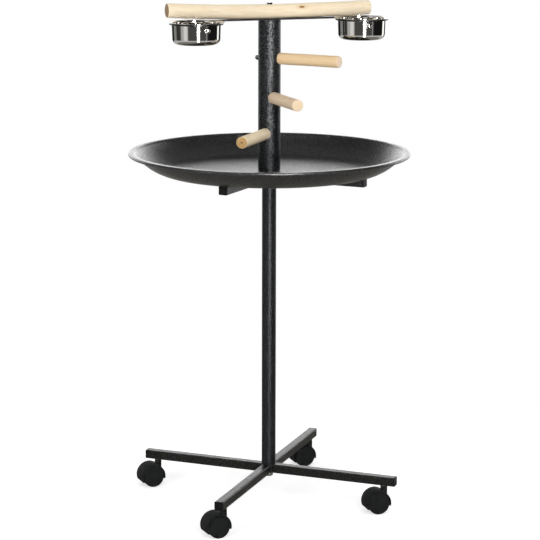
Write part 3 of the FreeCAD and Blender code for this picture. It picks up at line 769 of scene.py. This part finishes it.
def add_back_hardware():
    """Washer and cap nut of each side perch, on the far side of the post."""
    for name, (height, turn) in SIDE_PERCHES.items():
        direction = front_vector(turn)
        stand = along(-direction, Vector((0, 0, height)) - direction * POST_RADIUS)
        lay = Matrix.Rotation(math.radians(90.0), 4, "Y")
        build = bmesh.new()
        edge, top = WASHER_RADIUS - WASHER_SOFT, WASHER_HEIGHT - WASHER_SOFT
        profile = [(WASHER_BORE, 0.0), (edge, 0.0), (WASHER_RADIUS, WASHER_SOFT),
                   (WASHER_RADIUS, top), (edge, WASHER_HEIGHT), (WASHER_BORE, WASHER_HEIGHT)]
        lathe(build, profile, 64, True)
        bmesh.ops.transform(build, verts=build.verts, matrix=lay)
        washer = make_object("washer_" + name, build, ZINC, 40.0)
        washer.matrix_world = stand
        build = bmesh.new()
        rings = hex_rings(NUT_ACROSS, WASHER_HEIGHT, WASHER_HEIGHT + NUT_HEX, NUT_CROWN)
        base = WASHER_HEIGHT + NUT_LENGTH - NUT_CROWN
        for step in range(11):
            bend = math.radians(9 * step)
            crown = NUT_CROWN * math.cos(bend)
            rings.append(circle_ring(crown, base + NUT_CROWN * math.sin(bend)))
        loft(build, rings)
        bmesh.ops.transform(build, verts=build.verts, matrix=lay)
        nut = make_object("cap_nut_" + name, build, ZINC, 22.0)
        nut.matrix_world = stand
        place(washer, STAND, "zinc", "hanger_washers")
        place(nut, STAND, "zinc", "cap_nuts")


# ---- welds -------------------------------------------------------------------------------------
WELD_PITCH, EDGE_WELD, CORNER_WELD, RING_WELD = 0.7, 0.9, 1.0, 0.55
WELD_SIDES, RING_WELD_SPAN = 10, 17.5


def weld_bead(build, points, size, seed):
    """Rippled bead along a line of points (mm)."""
    rings = []
    count = len(points)
    for index, point in enumerate(points):
        before = Vector(points[max(index - 1, 0)])
        after = Vector(points[min(index + 1, count - 1)])
        run = (after - before).normalized()
        side = run.orthogonal().normalized()
        other = run.cross(side)
        end = min(index, count - 1 - index)
        swell = size * (1 + 0.14 * math.sin(1.9 * index + seed)) * min(1.0, 0.45 + 0.28 * end)
        ring = []
        for step in range(WELD_SIDES):
            turn = 2 * math.pi * step / WELD_SIDES
            ring.append(Vector(point) + (side * math.cos(turn) + other * math.sin(turn)) * swell)
        rings.append(ring)
    loft(build, rings, caps=True)


def line_points(start, end):
    """Points of a straight bead, a ripple apart."""
    start, end = Vector(start), Vector(end)
    count = max(3, int((end - start).length / WELD_PITCH))
    return [start.lerp(end, step / count) for step in range(count + 1)]


def add_cross_welds(name, bottom, turn):
    """Beads where the two short tubes meet the sides of the long one."""
    build = bmesh.new()
    top = bottom + 2 * ARM_HALF
    out = ARM_HALF + 0.2
    for side in (-1, 1):
        face = side * out
        half = ARM_HALF - 1.2
        for level, seed in ((top - 0.35, 0.3), (bottom + 0.35, 1.1)):
            edge_line = line_points((-half, face, level), (half, face, level))
            weld_bead(build, edge_line, EDGE_WELD, seed)
        for edge in (-1, 1):
            x = edge * (ARM_HALF + 0.1)
            corner_line = line_points((x, face, bottom + 1.5), (x, face, top - 1.5))
            weld_bead(build, corner_line, CORNER_WELD, 2.0)
    bmesh.ops.rotate(build, verts=build.verts, cent=(0, 0, 0),
                     matrix=Matrix.Rotation(math.radians(-turn), 3, "Z"))
    piece = make_object(name, build, FINE_COAT, 60.0)
    place(piece, STAND, "powder_coat")


def add_ring_welds():
    """Beads on both faces of the bar where the rings' outer edges run into it."""
    build = bmesh.new()
    for sign in (-1, 1):
        for level in (POST_TOP + 0.1, BAR_TOP - 0.1):
            points = []
            for step in range(41):
                turn = math.radians(90 - RING_WELD_SPAN + 2 * RING_WELD_SPAN * step / 40)
                points.append((sign * RING_X + RING_OUTER * math.cos(turn),
                               -RING_Y + RING_OUTER * math.sin(turn), level))
            points = [point for point in points if point[1] > -BAR_EDGE]
            weld_bead(build, points, RING_WELD, sign)
    piece = make_object("ring_welds", build, FINE_COAT, 60.0)
    place(piece, STAND, "powder_coat")


add_casters()
add_tray()
for bowl_side, bowl_x in (("left", -RING_X), ("right", RING_X)):
    add_bowl(bowl_side, bowl_x)
    add_stud(bowl_side, bowl_x)
add_main_perch()
for perch, (perch_height, perch_turn) in SIDE_PERCHES.items():
    add_side_perch(perch, perch_height, perch_turn)
add_top_bolt()
add_back_hardware()
add_cross_welds("base_welds", BASE_BOTTOM, BASE_TURN)
add_cross_welds("tray_cross_welds", POLE_TOP, TRAY_CROSS_TURN)
add_ring_welds()


# ---- floor, light and camera -------------------------------------------------------------------
CAMERA_TURN = 20.3
CAMERA_DISTANCE = 3.9329
CAMERA_HEIGHT = 1.30195
CAMERA_PITCH = 11.8029
CAMERA_YAW = 0.0296
CAMERA_ROLL = 0.125
CAMERA_LENS = 132.541
SENSOR = 36.0
AHEAD = Vector((math.sin(math.radians(CAMERA_TURN)), math.cos(math.radians(CAMERA_TURN)), 0))
RIGHT = Vector((AHEAD.y, -AHEAD.x, 0))


def add_camera():
    """Camera at the photograph's angle: left of the front, looking slightly down."""
    data = bpy.data.cameras.new("camera")
    data.lens = CAMERA_LENS
    data.sensor_width = SENSOR
    camera = bpy.data.objects.new("camera", data)
    bpy.context.scene.collection.objects.link(camera)
    camera.location = -AHEAD * CAMERA_DISTANCE + Vector((0, 0, CAMERA_HEIGHT))
    aim = Matrix.Rotation(-math.radians(CAMERA_TURN + CAMERA_YAW), 4, "Z")
    aim = aim @ Matrix.Rotation(math.radians(90.0 - CAMERA_PITCH), 4, "X")
    aim = aim @ Matrix.Rotation(math.radians(CAMERA_ROLL), 4, "Z")
    camera.rotation_euler = aim.to_euler()
    bpy.context.scene.camera = camera


def panel(graph, turn, rise, span, climb, soft, strength):
    """Soft-edged rectangle of light: span and climb are (low, high) degrees."""
    made = smooth_step(graph, turn, span[0] - soft, span[0] + soft)
    for value, edge, sign in ((turn, span[1], -1), (rise, climb[0], 1), (rise, climb[1], -1)):
        limits = (edge - soft, edge + soft) if sign > 0 else (edge + soft, edge - soft)
        made = maths(graph, "MULTIPLY", made, smooth_step(graph, value, *limits))
    return maths(graph, "MULTIPLY", made, strength)


# Panels that only reflections see: (low, high) degrees about the camera's direction and above
# the horizon, softness in degrees, and strength.
PANELS = (
    ((8.0, 16.4), (-42.0, 58.0), 1.0, 50.0),      # narrow strip light
    ((4.5, 20.0), (-42.0, 58.0), 3.5, 0.7),       # its soft shoulders
    ((50.0, 55.0), (-30.0, 40.0), 1.5, 0.30),
    ((-77.0, -38.0), (-16.0, 60.0), 4.0, 0.50),   # broad panel on the left
    ((-60.0, -42.0), (-16.0, 60.0), 6.0, 0.40),
    ((-131.0, -108.0), (-18.0, 20.0), 4.0, 0.30),
    ((-110.0, 60.0), (-40.0, 40.0), 4.0, 0.045),
    ((-37.0, 60.0), (-40.0, 40.0), 4.0, 0.03),
    ((121.0, 140.0), (-18.0, 30.0), 3.0, 1.7),    # edge light on the right
)
STUDIO_DARK, STUDIO_FILL = 0.012, 0.46
BACK_TURNS, BACK_FOOT, BACK_HEAD = (112.0, 140.0), (-6.0, 1.0), (24.0, 12.0)
BACK_BRIGHT, BACK_DIM = 3.2, 0.15
TOP_RISES, TOP_LIGHT = (45.0, 75.0), 0.04
GROUND_RISES, GROUND_LIGHT = (-13.0, -19.0), 0.6


def add_world():
    """White behind the object for the camera; for reflections, a dark studio with panels."""
    world = bpy.data.worlds.new("studio")
    bpy.context.scene.world = world
    world.use_nodes = True
    world.cycles.sampling_method = "NONE"
    graph = world.node_tree
    graph.nodes.clear()
    direction = node(graph, "ShaderNodeTexCoord").outputs["Generated"]
    right, front, up = [vector_maths(graph, "DOT_PRODUCT", direction, axis, "Value")
                        for axis in (RIGHT, -AHEAD, Vector((0, 0, 1)))]
    turn = maths(graph, "DEGREES", maths(graph, "ARCTAN2", right, front))
    rise = maths(graph, "DEGREES", maths(graph, "ARCSINE", up))
    behind = smooth_step(graph, maths(graph, "ABSOLUTE", turn), *BACK_TURNS)
    wall = smooth_step(graph, rise, *BACK_HEAD)
    wall = maths(graph, "MULTIPLY_ADD", wall, BACK_BRIGHT, BACK_DIM)
    wall = maths(graph, "MULTIPLY", wall, smooth_step(graph, rise, *BACK_FOOT))
    total = maths(graph, "MULTIPLY_ADD", behind, wall, STUDIO_DARK)
    for rises, strength in ((TOP_RISES, TOP_LIGHT), (GROUND_RISES, GROUND_LIGHT)):
        total = maths(graph, "MULTIPLY_ADD", smooth_step(graph, rise, *rises), strength, total)
    for span, climb, soft, strength in PANELS:
        total = maths(graph, "ADD", total, panel(graph, turn, rise, span, climb, soft, strength))
    path = node(graph, "ShaderNodeLightPath")
    fill = (STUDIO_FILL, STUDIO_FILL, STUDIO_FILL)
    colour = mix_colour(graph, path.outputs["Is Glossy Ray"], fill, total)
    seen = maths(graph, "MAXIMUM", path.outputs["Is Camera Ray"],
                 path.outputs["Is Transmission Ray"])
    colour = mix_colour(graph, seen, colour, (1.0, 1.0, 1.0))
    background = node(graph, "ShaderNodeBackground", {"Color": colour, "Strength": 1.0})
    output = node(graph, "ShaderNodeOutputWorld")
    graph.links.new(background.outputs["Background"], output.inputs["Surface"])


FLOOR_RADIUS, FLOOR_FADE = 1.5, (0.5, 1.1)
FLOOR_ALBEDO, FLOOR_LIFT = 0.8, 0.55
FLOOR_MIRRORED, FLOOR_MIRRORED_STRENGTH = (1.0, 0.95, 0.85), 0.235


def add_floor():
    """Plain pale round floor that fades to white and keeps the object's shadow."""
    build = bmesh.new()
    build.faces.new([build.verts.new(Vector(point)) for point in circle_ring(FLOOR_RADIUS, 0.0)])
    material, graph, shader = new_material("floor_white")
    floor = make_object("floor", build, material)
    shader.inputs["Base Color"].default_value = (FLOOR_ALBEDO, FLOOR_ALBEDO, FLOOR_ALBEDO, 1)
    shader.inputs["Roughness"].default_value = 0.9
    shader.inputs["Specular IOR Level"].default_value = 0.0
    shader.inputs["Emission Color"].default_value = (1, 1, 1, 1)
    path = node(graph, "ShaderNodeLightPath")
    feed(graph, shader.inputs["Emission Strength"],
         maths(graph, "MULTIPLY", path.outputs["Is Camera Ray"], FLOOR_LIFT))
    local = node(graph, "ShaderNodeTexCoord").outputs["Object"]
    away = vector_maths(graph, "LENGTH", local, output="Value")
    fade = smooth_step(graph, away, *FLOOR_FADE)
    white = node(graph, "ShaderNodeEmission", {"Color": (1.0, 1.0, 1.0), "Strength": 1.0})
    blend = node(graph, "ShaderNodeMixShader", {
        0: maths(graph, "MULTIPLY", fade, path.outputs["Is Camera Ray"]),
        1: shader.outputs["BSDF"], 2: white.outputs["Emission"]})
    mirrored = node(graph, "ShaderNodeEmission", {
        "Color": FLOOR_MIRRORED, "Strength": FLOOR_MIRRORED_STRENGTH})
    blend = node(graph, "ShaderNodeMixShader", {
        0: path.outputs["Is Glossy Ray"], 1: blend.outputs["Shader"],
        2: mirrored.outputs["Emission"]})
    output = [item for item in graph.nodes if item.type == "OUTPUT_MATERIAL"][0]
    graph.links.new(blend.outputs["Shader"], output.inputs["Surface"])


LAMPS = (
    # name, metres right of and before the stand and above the floor, aim, size (m), watts
    ("key", (1.1, 2.6, 1.5), (0, 0, 0.7), (1.0, 2.0), 41),
    ("fill", (-1.6, 2.2, 0.9), (0, 0, 0.7), (1.2, 1.6), 36),
    ("top", (0.2, -0.3, 3.2), (0, 0, 0), (2.4, 2.4), 13),
)


def add_lamp(name, place_at, aim, size, power):
    """Soft lamp, placed as the camera sees the stand; reflections see the panels instead."""
    data = bpy.data.lights.new(name, "AREA")
    data.shape = "RECTANGLE"
    data.size, data.size_y = size
    data.energy = power
    lamp = bpy.data.objects.new(name, data)
    bpy.context.scene.collection.objects.link(lamp)
    side, front, height = place_at
    lamp.location = RIGHT * side - AHEAD * front + Vector((0, 0, height))
    lamp.rotation_euler = (Vector(aim) - lamp.location).to_track_quat("-Z", "Y").to_euler()
    lamp.visible_glossy = False


add_camera()
add_world()
add_floor()
for lamp_values in LAMPS:
    add_lamp(*lamp_values)

bpy.context.scene.view_settings.view_transform = "Standard"
